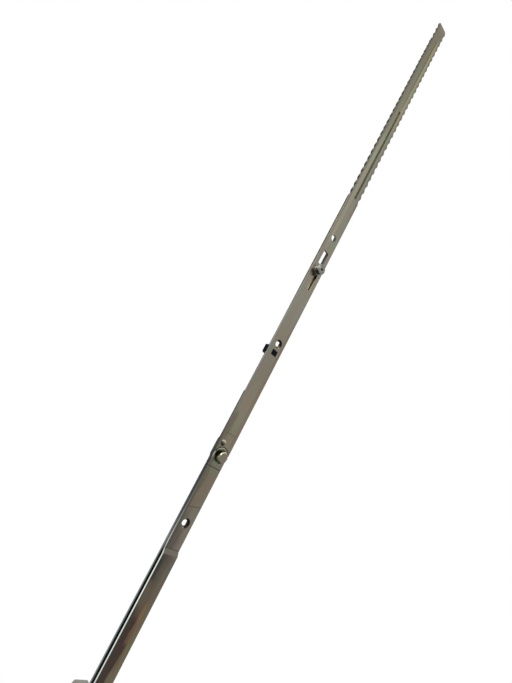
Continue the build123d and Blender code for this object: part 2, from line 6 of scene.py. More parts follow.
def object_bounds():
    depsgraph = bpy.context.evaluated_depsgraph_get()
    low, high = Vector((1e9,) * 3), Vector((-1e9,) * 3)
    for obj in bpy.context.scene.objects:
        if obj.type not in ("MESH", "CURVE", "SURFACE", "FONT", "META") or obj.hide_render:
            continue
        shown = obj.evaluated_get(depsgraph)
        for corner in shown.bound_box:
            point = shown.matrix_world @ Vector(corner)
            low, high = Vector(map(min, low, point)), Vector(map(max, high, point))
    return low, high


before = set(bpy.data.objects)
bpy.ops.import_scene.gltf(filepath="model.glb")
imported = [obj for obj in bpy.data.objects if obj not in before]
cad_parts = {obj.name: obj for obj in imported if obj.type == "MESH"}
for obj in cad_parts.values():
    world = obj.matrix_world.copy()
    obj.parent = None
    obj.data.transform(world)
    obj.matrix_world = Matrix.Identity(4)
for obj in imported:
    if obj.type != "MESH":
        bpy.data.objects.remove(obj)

cad_low, cad_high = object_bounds()


# Upper faceplate
# Strip of cold rolled steel, 2 mm thick and 18 mm wide, punched in a press, zinc plated and given a
# thick yellowish-green passivation. The plating is thinner and duller on the sheared sides. The
# plate is screwed to the sash and riveted to the joint plate at its lower end.

FLAT_FRONT_X = 0.0150           # front of both faceplates where they are flat
UPPER_SCREW_Z = 0.371
SCREW_HEAD_R = 0.0044           # widest radius of the countersunk screw holes
SLOT_LOW_Z = 0.437              # lower end of the cam slot
GROOVE_LOW_Z = 0.562
GROOVE_STEP_Z = 0.705           # below this the groove goes right through the plate


def new_group(name, inputs, outputs):
    """Empty shader node group; inputs and outputs are (name, kind)."""
    group = bpy.data.node_groups.new(name, "ShaderNodeTree")
    for label, kind in inputs:
        group.interface.new_socket(label, in_out="INPUT", socket_type=kind)
    for label, kind in outputs:
        group.interface.new_socket(label, in_out="OUTPUT", socket_type=kind)
    group.nodes.new("NodeGroupInput")
    group.nodes.new("NodeGroupOutput")
    return group


def set_input(tree, socket, source):
    """Link a socket to another node's output, or set it to a plain value."""
    if isinstance(source, bpy.types.NodeSocket):
        tree.links.new(source, socket)
    else:
        socket.default_value = source


def add_group(tree, group, **values):
    """Place a group in a tree, with its inputs linked or set by name."""
    node = tree.nodes.new("ShaderNodeGroup")
    node.node_tree = group
    for label, value in values.items():
        set_input(tree, node.inputs[label], value)
    return node


def math_node(tree, operation, *values):
    node = tree.nodes.new("ShaderNodeMath")
    node.operation = operation
    for socket, value in zip(node.inputs, values):
        set_input(tree, socket, value)
    return node.outputs[0]


def mix_colour(tree, factor, first, second, blend="MIX"):
    node = tree.nodes.new("ShaderNodeMix")
    node.data_type = "RGBA"
    node.blend_type = blend
    set_input(tree, node.inputs["Factor"], factor)
    set_input(tree, node.inputs[6], first)
    set_input(tree, node.inputs[7], second)
    return node.outputs[2]


def map_range(tree, value, low, high, to_low=0.0, to_high=1.0, smooth=True):
    node = tree.nodes.new("ShaderNodeMapRange")
    node.interpolation_type = "SMOOTHSTEP" if smooth else "LINEAR"
    for socket, source in zip(node.inputs, (value, low, high, to_low, to_high)):
        set_input(tree, socket, source)
    return node.outputs[0]


def band(tree, value, low, high, soft):
    """1 between low and high, falling to 0 over a soft width outside them."""
    rise = map_range(tree, value, low - soft, low)
    fall = map_range(tree, value, high, high + soft, 1.0, 0.0)
    return math_node(tree, "MULTIPLY", rise, fall)


def paint(tree, base, colour, *masks):
    """Lay a colour over the base where all the masks are 1."""
    factor = masks[0]
    for mask in masks[1:]:
        factor = math_node(tree, "MULTIPLY", factor, mask)
    return mix_colour(tree, factor, base, (*colour, 1))


def stretched_noise(tree, vector, scale, detail):
    """Noise over coordinates that are first scaled by a different amount along each axis."""
    mapping = tree.nodes.new("ShaderNodeMapping")
    tree.links.new(vector, mapping.inputs["Vector"])
    mapping.inputs["Scale"].default_value = scale
    noise = tree.nodes.new("ShaderNodeTexNoise")
    tree.links.new(mapping.outputs[0], noise.inputs["Vector"])
    noise.inputs["Scale"].default_value = 1.0
    noise.inputs["Detail"].default_value = detail
    noise.inputs["Roughness"].default_value = 0.6
    return noise.outputs["Fac"]


def colour_ramp(tree, factor, stops):
    ramp = tree.nodes.new("ShaderNodeValToRGB")
    tree.links.new(factor, ramp.inputs["Fac"])
    ramp.color_ramp.elements[0].position = stops[0][0]
    ramp.color_ramp.elements[0].color = (*stops[0][1], 1)
    ramp.color_ramp.elements[1].position = stops[-1][0]
    ramp.color_ramp.elements[1].color = (*stops[-1][1], 1)
    for place, colour in stops[1:-1]:
        ramp.color_ramp.elements.new(place).color = (*colour, 1)
    return ramp.outputs["Color"]


def ramp_along(tree, value, stops):
    """Colour ramp whose stops are given in the value's own unit."""
    low, high = stops[0][0], stops[-1][0]
    factor = map_range(tree, value, low, high, smooth=False)
    shares = [((place - low) / (high - low), colour) for place, colour in stops]
    return colour_ramp(tree, factor, shares)


def distance_from(tree, axis, z):
    """Distance from an axis along X in the middle of the strip, at height z."""
    off_z = math_node(tree, "SUBTRACT", axis["Z"], z)
    square_y = math_node(tree, "POWER", axis["Y"], 2)
    square_z = math_node(tree, "POWER", off_z, 2)
    return math_node(tree, "SQRT", math_node(tree, "ADD", square_y, square_z))


def passivation_group():
    """Cloudy interference colours of a thick passivation, laid over a base colour."""
    group = new_group(
        "passivation",
        [("Vector", "NodeSocketVector"), ("Base", "NodeSocketColor"), ("Strength", "NodeSocketFloat")],
        [("Color", "NodeSocketColor"), ("Cloud", "NodeSocketFloat")],
    )
    given, result = group.nodes["Group Input"], group.nodes["Group Output"]
    vector = given.outputs["Vector"]
    clouds = stretched_noise(group, vector, (150, 150, 48), detail=4.0)
    tints = colour_ramp(group, clouds, [
        (0.34, (0.44, 0.56, 0.48)),
        (0.45, (0.49, 0.51, 0.48)),
        (0.55, (0.54, 0.49, 0.48)),
        (0.66, (0.55, 0.53, 0.43)),
    ])
    tinted = mix_colour(group, given.outputs["Strength"], given.outputs["Base"], tints, "OVERLAY")
    group.links.new(tinted, result.inputs["Color"])
    group.links.new(clouds, result.inputs["Cloud"])
    return group


def rolled_surface_group():
    """Fine rolling lines along the strip and faint pits, as a height and a 0 to 1 mask."""
    group = new_group(
        "rolled_surface",
        [("Vector", "NodeSocketVector")],
        [("Height", "NodeSocketFloat"), ("Lines", "NodeSocketFloat")],
    )
    given, result = group.nodes["Group Input"], group.nodes["Group Output"]
    vector = given.outputs["Vector"]
    lines = stretched_noise(group, vector, (1900, 1900, 45), detail=2.0)
    pits = stretched_noise(group, vector, (1500, 1500, 1500), detail=1.0)
    deep_lines = math_node(group, "MULTIPLY", lines, 0.6)
    shallow_pits = math_node(group, "MULTIPLY", pits, 0.4)
    height = math_node(group, "ADD", deep_lines, shallow_pits)
    group.links.new(height, result.inputs["Height"])
    group.links.new(lines, result.inputs["Lines"])
    return group


def sheared_side_group():
    """Masks of the sheared faces, which look across X, and of sloped ones, and the tear marks."""
    group = new_group(
        "sheared_side",
        [("Vector", "NodeSocketVector")],
        [("Mask", "NodeSocketFloat"), ("Slope", "NodeSocketFloat"), ("Tears", "NodeSocketFloat")],
    )
    given, result = group.nodes["Group Input"], group.nodes["Group Output"]
    coordinates = group.nodes.new("ShaderNodeTexCoord")
    split = group.nodes.new("ShaderNodeSeparateXYZ")
    group.links.new(coordinates.outputs["Normal"], split.inputs[0])
    facing = math_node(group, "ABSOLUTE", split.outputs["X"])
    tears = stretched_noise(group, given.outputs["Vector"], (260, 1900, 1300), detail=2.0)
    group.links.new(map_range(group, facing, 0.3, 0.6, 1.0, 0.0), result.inputs["Mask"])
    group.links.new(band(group, facing, 0.65, 0.80, 0.05), result.inputs["Slope"])
    group.links.new(tears, result.inputs["Tears"])
    return group


def light_side_group():
    """How far a curved face looks along a given direction, from 0 behind it to 1 along it."""
    group = new_group(
        "light_side",
        [("Direction", "NodeSocketVector")],
        [("Facing", "NodeSocketFloat")],
    )
    given, result = group.nodes["Group Input"], group.nodes["Group Output"]
    coordinates = group.nodes.new("ShaderNodeTexCoord")
    product = group.nodes.new("ShaderNodeVectorMath")
    product.operation = "DOT_PRODUCT"
    group.links.new(coordinates.outputs["Normal"], product.inputs[0])
    group.links.new(given.outputs["Direction"], product.inputs[1])
    facing = map_range(group, product.outputs["Value"], -1.0, 1.0, smooth=False)
    group.links.new(facing, result.inputs["Facing"])
    return group


passivation = passivation_group()
rolled_surface = rolled_surface_group()
sheared_side = sheared_side_group()
light_side = light_side_group()


def strip_finish_group():
    """Clouds and rolling lines on the faces of a strip, torn metal on its sheared sides."""
    group = new_group(
        "strip_finish",
        [("Vector", "NodeSocketVector"), ("Face", "NodeSocketColor"), ("Sides", "NodeSocketColor")],
        [("Color", "NodeSocketColor"), ("Roughness", "NodeSocketFloat"), ("Height", "NodeSocketFloat")],
    )
    given, result = group.nodes["Group Input"], group.nodes["Group Output"]
    vector = given.outputs["Vector"]
    clouds = add_group(group, passivation, Vector=vector, Base=given.outputs["Face"], Strength=0.6)
    surface = add_group(group, rolled_surface, Vector=vector)
    side = add_group(group, sheared_side, Vector=vector)
    lined = mix_colour(group, 0.18, clouds.outputs["Color"], surface.outputs["Lines"], "OVERLAY")
    torn = mix_colour(group, 0.12, given.outputs["Sides"], side.outputs["Tears"], "OVERLAY")
    coloured = mix_colour(group, side.outputs["Mask"], lined, torn)
    group.links.new(coloured, result.inputs["Color"])
    rough = map_range(group, clouds.outputs["Cloud"], 0.3, 0.7, 0.26, 0.36)
    group.links.new(rough, result.inputs["Roughness"])
    on_faces = math_node(group, "SUBTRACT", 1.0, side.outputs["Mask"])
    height = math_node(group, "MULTIPLY", surface.outputs["Height"], on_faces)
    group.links.new(height, result.inputs["Height"])
    return group


def countersink_group():
    """Cone of the screw hole at Height, with painted light where it looks away from Shadow and painted
    shade where it looks along it.
    """
    group = new_group(
        "countersink",
        [
            ("Vector", "NodeSocketVector"),
            ("Base", "NodeSocketColor"),
            ("Slope", "NodeSocketFloat"),
            ("Height", "NodeSocketFloat"),
            ("Shadow", "NodeSocketVector"),
        ],
        [("Color", "NodeSocketColor")],
    )
    given, result = group.nodes["Group Input"], group.nodes["Group Output"]
    split = group.nodes.new("ShaderNodeSeparateXYZ")
    group.links.new(given.outputs["Vector"], split.inputs[0])
    out = distance_from(group, split.outputs, given.outputs["Height"])
    inside = map_range(group, out, SCREW_HEAD_R, SCREW_HEAD_R + 0.0004, 1.0, 0.0)
    facing = add_group(group, light_side, Direction=given.outputs["Shadow"]).outputs["Facing"]
    # Painted light and shade on the cone by the way it faces.
    cone_light_and_shade = ramp_along(group, facing, [
        (0.15, (0.62, 0.66, 0.58)),
        (0.40, (0.50, 0.50, 0.42)),
        (0.52, (0.13, 0.115, 0.09)),
        (0.62, (0.024, 0.018, 0.013)),
        (0.85, (0.014, 0.011, 0.009)),
    ])
    on_cone = math_node(group, "MULTIPLY", given.outputs["Slope"], inside)
    group.links.new(mix_colour(group, on_cone, given.outputs["Base"], cone_light_and_shade), result.inputs["Color"])
    return group


strip_finish = strip_finish_group()
countersink = countersink_group()


def new_material(name, metallic, roughness=0.5):
    """Material, its node tree and its Principled BSDF with plain metallic and roughness values."""
    material = bpy.data.materials.new(name)
    material.use_nodes = True
    shader = material.node_tree.nodes["Principled BSDF"]
    shader.inputs["Metallic"].default_value = metallic
    shader.inputs["Roughness"].default_value = roughness
    return material, material.node_tree, shader


def object_place(tree):
    """Object coordinates, and their X, Y and Z apart."""
    coordinates = tree.nodes.new("ShaderNodeTexCoord")
    split = tree.nodes.new("ShaderNodeSeparateXYZ")
    tree.links.new(coordinates.outputs["Object"], split.inputs[0])
    return coordinates.outputs["Object"], split.outputs


def add_bump(tree, shader, height, distance, strength):
    bump = tree.nodes.new("ShaderNodeBump")
    bump.inputs["Distance"].default_value = distance
    bump.inputs["Strength"].default_value = strength
    tree.links.new(height, bump.inputs["Height"])
    tree.links.new(bump.outputs["Normal"], shader.inputs["Normal"])


def finish_strip(tree, shader, place, face, sides):
    """Lay the strip's finish over the colours of its faces and sides."""
    finish = add_group(tree, strip_finish, Vector=place, Face=face, Sides=sides)
    tree.links.new(finish.outputs["Color"], shader.inputs["Base Color"])
    tree.links.new(finish.outputs["Roughness"], shader.inputs["Roughness"])
    add_bump(tree, shader, finish.outputs["Height"], 0.00002, 0.6)


def upper_plate_steel():
    """Upper plate's tone by height, partly tint and partly painted light, painted light, shade and
    darker bands by the groove and the edges, and its sides.
    """
    material, tree, shader = new_material("upper_plate_steel", 1.0)
    place, axis = object_place(tree)
    y, z = axis["Y"], axis["Z"]
    # Tone by height: partly the plating's tint and partly painted light, brightest at mid-height.
    face = ramp_along(tree, z, [
        (0.255, (0.195, 0.172, 0.128)),
        (0.290, (0.218, 0.194, 0.147)),
        (0.350, (0.205, 0.187, 0.150)),
        (0.420, (0.236, 0.218, 0.182)),
        (0.540, (0.234, 0.220, 0.177)),
        (0.640, (0.245, 0.236, 0.182)),
        (0.750, (0.179, 0.173, 0.125)),
        (0.830, (0.150, 0.135, 0.085)),
        (0.848, (0.150, 0.130, 0.088)),
        (0.866, (0.205, 0.170, 0.124)),
    ])
    # Painted highlight, yellowish, on the face right of the groove.
    groove_side = band(tree, y, 0.0030, 0.0052, 0.0018)
    groove_highlight = band(tree, z, 0.690, 0.820, 0.035)
    face = paint(tree, face, (0.330, 0.298, 0.172), groove_side, groove_highlight, 0.75)
    left_shade = map_range(tree, y, -0.0045, -0.0085)
    toothed = map_range(tree, z, 0.430, 0.680)
    face = paint(tree, face, (0.105, 0.097, 0.066), left_shade, toothed, 0.8)
    # Painted shade on the left near the tip, stronger than below.
    tip_left_shade = map_range(tree, y, -0.0045, -0.0070)
    face = paint(tree, face, (0.115, 0.095, 0.060), tip_left_shade, map_range(tree, z, 0.770, 0.820), 0.45)
    # Painted shade along the right rim of the groove where it goes through.
    groove_rim_shade = band(tree, y, 0.0018, 0.0023, 0.0005)
    through_groove = band(tree, z, GROOVE_LOW_Z, GROOVE_STEP_Z - 0.005, 0.010)
    face = paint(tree, face, (0.110, 0.105, 0.085), groove_rim_shade, through_groove, 0.5)
    # Painted shade on the left beside the eyelet.
    by_the_eyelet = band(tree, z, 0.250, 0.290, 0.008)
    eyelet_left_shade = math_node(tree, "MULTIPLY", map_range(tree, y, -0.0020, -0.0060), by_the_eyelet)
    face = paint(tree, face, (0.140, 0.124, 0.092), eyelet_left_shade, 0.8)
    pale = band(tree, y, -0.0055, -0.0028, 0.0020)
    face = paint(tree, face, (0.330, 0.315, 0.245), pale, band(tree, z, 0.510, 0.640, 0.030), 0.5)
    right_edge = map_range(tree, y, 0.0048, 0.0060)
    face = paint(tree, face, (0.195, 0.155, 0.115), right_edge, map_range(tree, z, 0.43, 0.36), 0.8)
    toothed_right = map_range(tree, y, 0.0030, 0.0070)
    face = paint(tree, face, (0.135, 0.130, 0.095), toothed_right, map_range(tree, z, 0.50, 0.58), 0.6)
    edge_line = band(tree, y, 0.0044, 0.0048, 0.0003)
    face = paint(tree, face, (0.130, 0.115, 0.085), edge_line, band(tree, z, 0.262, 0.330, 0.010), 0.45)
    bend = band(tree, z, 0.2729, 0.2737, 0.0006)
    face = paint(tree, face, (0.110, 0.100, 0.075), bend, band(tree, y, -0.0070, 0.0055, 0.0010), 0.45)
    slope = add_group(tree, sheared_side, Vector=place).outputs["Slope"]
    # Painted shade on the chamfered edges.
    face = paint(tree, face, (0.120, 0.110, 0.085), slope, 0.7)
    # Painted light and shade on the countersunk cone of the screw hole.
    face = add_group(
        tree,
        countersink,
        Vector=place,
        Base=face,
        Slope=slope,
        Height=UPPER_SCREW_Z,
        Shadow=(0, -0.6, -0.8),
    ).outputs["Color"]
    # Walls of the slot, the holes and the groove, with painted light and shade by height: dark beside
    # the cam, lit brighter in the groove and brightest at its step and upper end.
    sides = ramp_along(tree, z, [
        (SLOT_LOW_Z, (0.120, 0.112, 0.086)),
        (0.452, (0.110, 0.102, 0.090)),
        (0.459, (0.070, 0.070, 0.062)),
        (0.466, (0.120, 0.124, 0.105)),
        (0.480, (0.095, 0.098, 0.082)),
        (0.486, (0.035, 0.035, 0.028)),
        (0.500, (0.090, 0.092, 0.080)),
        (0.540, (0.120, 0.124, 0.100)),
        (GROOVE_LOW_Z, (0.400, 0.410, 0.320)),
        (0.702, (0.450, 0.470, 0.360)),
        (GROOVE_STEP_Z - 0.0004, (0.850, 0.860, 0.700)),
        (0.712, (0.560, 0.550, 0.400)),
        (0.828, (0.560, 0.550, 0.400)),
        (0.834, (0.950, 0.930, 0.760)),
    ])
    # Painted light on the right part of the socket's wall.
    socket_place = band(tree, z, 0.240, 0.280, 0.010)
    socket_right_light = math_node(tree, "MULTIPLY", map_range(tree, y, 0.0000, 0.0030), socket_place)
    sides = paint(tree, sides, (0.600, 0.520, 0.400), socket_right_light, 0.95)
    # The lower end of the slot's right wall is lit near the face and in shadow further in.
    shadow_depth = map_range(tree, z, SLOT_LOW_Z, SLOT_LOW_Z + 0.020, 0.0016, 0.0, smooth=False)
    lit_place = math_node(tree, "ADD", axis["X"], shadow_depth)
    lit_depth = map_range(tree, lit_place, FLAT_FRONT_X - 0.0002, FLAT_FRONT_X + 0.0001)
    sides = paint(tree, sides, (0.860, 0.825, 0.710), lit_depth, band(tree, z, 0.430, 0.455, 0.003))
    outer = map_range(tree, math_node(tree, "ABSOLUTE", y), 0.0060, 0.0070)
    # Outer sheared sides with painted light by height, brightest from 0.35 to 0.39 m and dark below
    # 0.26 m and above 0.5 m.
    outer_sides = ramp_along(tree, z, [
        (0.255, (0.050, 0.048, 0.044)),
        (0.300, (0.200, 0.192, 0.182)),
        (0.350, (0.270, 0.265, 0.265)),
        (0.390, (0.290, 0.285, 0.280)),
        (0.430, (0.170, 0.168, 0.160)),
        (0.500, (0.060, 0.062, 0.054)),
        (0.866, (0.055, 0.055, 0.040)),
    ])
    finish_strip(tree, shader, place, face, mix_colour(tree, outer, sides, outer_sides))
    return material


def dress(material, *nodes):
    """Give CAD nodes their finish."""
    for node in nodes:
        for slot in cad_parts[node].material_slots:
            slot.material = material


dress(upper_plate_steel(), "upper_faceplate")


# Main faceplate
# The same plated strip, 16 mm wide, pressed outwards over the gear case. The raised stretch is
# painted dark and brown on its left, partly stained by handling and storage and partly painted shade,
# and its sheared side there carries painted light.

RAISED_FRONT_X = 0.0168         # front of the raised stretch
MAIN_SCREW_Z = 0.190
STUD_Z = 0.2518
SEAM_Z = 0.241                  # fine groove across the plate, below the stud
RAISE_TOP_Z = 0.167             # upper fold of the raised stretch
RAISE_FULL_Z = 0.1635           # lower fold, where the stretch has its full height


def main_plate_steel():
    """Lighter right and darker left half of the main plate, partly stain and partly painted shade, its
    marks by height, and its sides with painted light and shade.
    """
    material, tree, shader = new_material("main_plate_steel", 1.0)
    place, axis = object_place(tree)
    x, y, z = axis["X"], axis["Y"], axis["Z"]
    # Face tone by height, darker towards the bottom: partly tint and partly painted shade.
    right_face = ramp_along(tree, z, [
        (-0.285, (0.120, 0.108, 0.081)),
        (0.060, (0.146, 0.122, 0.079)),
        (0.103, (0.147, 0.119, 0.074)),
        (0.128, (0.130, 0.112, 0.078)),
        (0.160, (0.124, 0.112, 0.090)),
        (0.169, (0.176, 0.159, 0.136)),
        (0.180, (0.182, 0.164, 0.141)),
        (0.213, (0.178, 0.151, 0.116)),
        (0.240, (0.178, 0.156, 0.120)),
        (0.260, (0.184, 0.165, 0.122)),
    ])
    # Left half, darker and browner: partly stain and partly painted shade.
    left_face = ramp_along(tree, z, [
        (-0.285, (0.108, 0.096, 0.072)),
        (0.060, (0.055, 0.039, 0.032)),
        (0.119, (0.062, 0.045, 0.037)),
        (0.123, (0.100, 0.066, 0.055)),
        (0.135, (0.098, 0.072, 0.062)),
        (0.143, (0.056, 0.049, 0.043)),
        (0.1635, (0.062, 0.054, 0.047)),
        (0.169, (0.087, 0.076, 0.068)),
        (0.213, (0.114, 0.096, 0.067)),
        (0.240, (0.133, 0.111, 0.078)),
        (0.260, (0.152, 0.133, 0.095)),
    ])
    # The edge of the darker left half, stain and painted shade, wanders to both sides.
    blotches = stretched_noise(tree, place, (200, 200, 26), detail=3.0)
    wander = map_range(tree, blotches, 0.3, 0.7, -0.004, 0.004, smooth=False)
    stain_and_shade_place = math_node(tree, "ADD", y, wander)
    stain_and_shade_edge = map_range(tree, z, 0.180, 0.205, 0.0050, -0.0010)
    left_stain_and_shade = map_range(tree, stain_and_shade_place, stain_and_shade_edge, -0.0068, smooth=False)
    face = mix_colour(tree, left_stain_and_shade, right_face, left_face)
    # Darker still on the lower stretch, from the middle leftwards: partly stain and partly painted
    # shade.
    low = band(tree, z, -0.060, 0.108, 0.010)
    face = paint(tree, face, (0.053, 0.038, 0.032), map_range(tree, stain_and_shade_place, 0.0040, 0.0005), low)
    rust_place = math_node(tree, "ADD", y, math_node(tree, "MULTIPLY", wander, 0.4))
    rust = band(tree, rust_place, 0.0008, 0.0028, 0.0018)
    face = paint(tree, face, (0.165, 0.100, 0.066), rust, band(tree, z, 0.096, 0.122, 0.006), 0.7)
    face = paint(tree, face, (0.205, 0.120, 0.070), rust, band(tree, z, 0.113, 0.121, 0.005), 0.7)
    # Darker band on the left, between 0.144 and 0.157 m.
    darker_left_band = band(tree, z, 0.144, 0.157, 0.004)
    face = paint(tree, face, (0.042, 0.038, 0.034), map_range(tree, y, -0.0030, -0.0060), darker_left_band, 0.8)
    # Painted light on the sloped face between the two folds of the raised stretch.
    fold_light = band(tree, z, RAISE_FULL_Z, RAISE_TOP_Z, 0.0006)
    face = paint(tree, face, (0.170, 0.152, 0.125), fold_light, 0.8)
    fold_shade = band(tree, z, RAISE_TOP_Z + 0.0002, RAISE_TOP_Z + 0.0008, 0.0005)
    face = paint(tree, face, (0.070, 0.072, 0.048), fold_shade, 0.7)
    # Painted highlight on the rim of the eyelet, seen above the stud and on its left.
    rim_highlight = band(tree, distance_from(tree, axis, STUD_Z), 0.0077, 0.0084, 0.0002)
    rim_highlight = math_node(tree, "MULTIPLY", rim_highlight, map_range(tree, y, 0.0035, -0.0010))
    above_stud = map_range(tree, z, STUD_Z - 0.0040, STUD_Z)
    face = paint(tree, face, (0.600, 0.620, 0.500), rim_highlight, above_stud, 0.9)
    bluish = band(tree, z, 0.2365, 0.2465, 0.0020)
    stain_middle = band(tree, stain_and_shade_place, -0.0035, 0.0035, 0.0020)
    face = paint(tree, face, (0.148, 0.170, 0.128), bluish, stain_middle, 0.8)
    seam = band(tree, z, SEAM_Z - 0.0004, SEAM_Z + 0.0002, 0.0003)
    face = paint(tree, face, (0.040, 0.035, 0.026), seam, 0.75)
    # Painted shade along a faint slanting line across the plate.
    slanting_line_place = math_node(tree, "SUBTRACT", z, math_node(tree, "MULTIPLY", y, 0.15))
    slanting_line_shade = band(tree, slanting_line_place, 0.2043, 0.2049, 0.0005)
    face = paint(tree, face, (0.080, 0.070, 0.052), slanting_line_shade, 0.6)
    slope = add_group(tree, sheared_side, Vector=place).outputs["Slope"]
    # Painted light and shade on the countersunk cone of the screw hole.
    face = add_group(
        tree,
        countersink,
        Vector=place,
        Base=face,
        Slope=slope,
        Height=MAIN_SCREW_Z,
        Shadow=(0, -1, -0.1),
    ).outputs["Color"]
    # Sheared sides with painted light by height: mint-white along the raised stretch, dark higher up,
    # and lighter, greenish, on the eyelet's wall.
    sides = ramp_along(tree, z, [
        (-0.285, (0.200, 0.210, 0.190)),
        (0.060, (0.660, 0.760, 0.680)),
        (0.105, (0.760, 0.880, 0.780)),
        (0.125, (0.860, 1.000, 0.900)),
        (0.155, (0.800, 0.920, 0.820)),
        (0.175, (0.430, 0.500, 0.450)),
        (0.190, (0.260, 0.310, 0.290)),
        (0.205, (0.150, 0.165, 0.165)),
        (0.230, (0.105, 0.112, 0.112)),
        (0.247, (0.100, 0.105, 0.098)),
        (0.253, (0.420, 0.450, 0.360)),
        (0.260, (0.420, 0.450, 0.360)),
    ])
    # Painted shade on the sides more than about 1.5 mm behind the front face, behind their lit front
    # band.
    shaded_from = map_range(
        tree, z, 0.160, 0.175, RAISED_FRONT_X - 0.0017, FLAT_FRONT_X - 0.0014
    )
    back_shade = map_range(tree, math_node(tree, "SUBTRACT", x, shaded_from), -0.0002, 0.0002, 1.0, 0.0)
    sides = paint(tree, sides, (0.022, 0.020, 0.028), back_shade, 0.9)
    # Painted shade along the front edge of the sides on the raised stretch.
    front_edge_shade = map_range(tree, x, RAISED_FRONT_X - 0.0007, RAISED_FRONT_X - 0.0003)
    sides = paint(tree, sides, (0.080, 0.070, 0.085), front_edge_shade, 0.9)
    finish_strip(tree, shader, place, face, sides)
    return material


dress(main_plate_steel(), "main_faceplate")


# Drive rods, their splice and the joint plate
# The same plated strip steel, 2.2 mm thick in the rods, which slide behind the faceplates on a film
# of grease. The joint plate ties the two faceplates together by the stud and the domed rivet.

ROD_FRONT_X = 0.0126


def rod_steel():
    """Faces and sides of the rods, with painted light by height and painted shade on the front of their
    sides below the fold.
    """
    material, tree, shader = new_material("rod_steel", 1.0)
    place, axis = object_place(tree)
    # Faces lighter from 0.57 m up: painted light where they show through the groove.
    face = ramp_along(tree, axis["Z"], [
        (-0.265, (0.220, 0.210, 0.175)),
        (0.436, (0.260, 0.245, 0.190)),
        (0.500, (0.260, 0.245, 0.190)),
        (0.570, (0.420, 0.400, 0.310)),
        (0.832, (0.420, 0.400, 0.310)),
    ])
    # Sides with painted light by height, lightest from 0.1 to 0.16 m and dark above 0.24 m.
    sides = ramp_along(tree, axis["Z"], [
        (-0.265, (0.130, 0.138, 0.126)),
        (0.100, (0.215, 0.235, 0.235)),
        (0.155, (0.240, 0.260, 0.245)),
        (0.175, (0.190, 0.205, 0.195)),
        (0.198, (0.085, 0.092, 0.090)),
        (0.240, (0.055, 0.060, 0.062)),
        (0.300, (0.050, 0.052, 0.050)),
        (0.832, (0.060, 0.060, 0.050)),
    ])
    # Painted shade on the front part of the sides below the fold, in the gap behind the plate.
    side_front_shade = map_range(tree, axis["X"], ROD_FRONT_X - 0.0011, ROD_FRONT_X - 0.0005)
    below_fold = map_range(tree, axis["Z"], 0.175, 0.158)
    sides = paint(tree, sides, (0.012, 0.011, 0.017), side_front_shade, below_fold, 0.9)
    finish_strip(tree, shader, place, face, sides)
    return material


dress(rod_steel(), "upper_drive_rod", "main_drive_rod", "rod_splice_plate", "joint_plate")


# Locking cams
# Base, eccentric pin and roller are turned from steel bar and plated bright. Turning leaves rings
# on the end faces. Their sides and rims carry painted light towards the upper left and painted shade
# below. The base is riveted to the rod, and the roller turns on the pin.

UPPER_CAM_Z = 0.462
LOWER_CAM_Z = -0.180
ROLLER_AXIS = 0.0008            # how far the roller's axis stands above the pin's


def passivate(tree, shader, place, colour, strength):
    """Colour of a plain piece, clouded by its passivation."""
    clouds = add_group(tree, passivation, Vector=place, Base=colour, Strength=strength)
    set_input(tree, shader.inputs["Base Color"], clouds.outputs["Color"])


def turned_grain_group():
    """Fine grain of a turned or headed surface, as a height."""
    group = new_group(
        "turned_grain",
        [("Vector", "NodeSocketVector")],
        [("Height", "NodeSocketFloat")],
    )
    given, result = group.nodes["Group Input"], group.nodes["Group Output"]
    grain = stretched_noise(group, given.outputs["Vector"], (2200, 2200, 2200), detail=2.0)
    group.links.new(grain, result.inputs["Height"])
    return group


turned_grain = turned_grain_group()


def turned_steel(name, place_z, lit_colour, middle, shaded_colour):
    """Turned piece about an axis along X at this height, with painted light on its upper left and
    painted shade below.
    """
    material, tree, shader = new_material(name, 1.0, 0.28)
    place, axis = object_place(tree)
    out = distance_from(tree, axis, place_z)
    ends = ramp_along(tree, out, [
        (0.0014, tuple(0.8 * part for part in middle)),
        (0.0022, middle),
        (0.0030, tuple(1.15 * part for part in middle)),
        (0.0036, tuple(0.55 * part for part in middle)),
        (0.0043, middle),
        (0.0052, tuple(1.3 * part for part in middle)),
    ])
    # Painted light on the flanks and rims towards the upper left, painted shade below.
    facing = add_group(tree, light_side, Direction=(0.0, -0.6, 0.8)).outputs["Facing"]
    lit_and_shaded_flanks = ramp_along(tree, facing, [
        (0.10, shaded_colour),
        (0.45, shaded_colour),
        (0.62, middle),
        (0.80, lit_colour),
        (1.00, lit_colour),
    ])
    side = add_group(tree, sheared_side, Vector=place)
    lit_and_shaded_rims = ramp_along(tree, facing, [
        (0.40, tuple(0.45 * part for part in middle)),
        (0.60, middle),
        (0.85, tuple(0.65 * part for part in lit_colour)),
    ])
    ends = mix_colour(tree, side.outputs["Slope"], ends, lit_and_shaded_rims)
    coloured = mix_colour(tree, side.outputs["Mask"], ends, lit_and_shaded_flanks)
    passivate(tree, shader, place, coloured, 0.2)
    grain = add_group(tree, turned_grain, Vector=place)
    add_bump(tree, shader, grain.outputs["Height"], 0.00001, 0.5)
    return material


for leg, pin_z in (("upper", UPPER_CAM_Z), ("lower", LOWER_CAM_Z)):
    cam_steel = turned_steel(
        f"{leg}_cam_steel",
        pin_z + ROLLER_AXIS,
        lit_colour=(0.60, 0.61, 0.57),
        middle=(0.24, 0.235, 0.205),
        shaded_colour=(0.085, 0.087, 0.085),
    )
    dress(cam_steel, f"{leg}_cam_base", f"{leg}_cam_pin", f"{leg}_cam_roller")


# Locating stud, domed rivet and the other rivets and bushes
# Turned or headed from steel bar, plated with the strips and as yellowish as they are. The stud is
# riveted into the joint plate and stands in the main faceplate's eyelet.

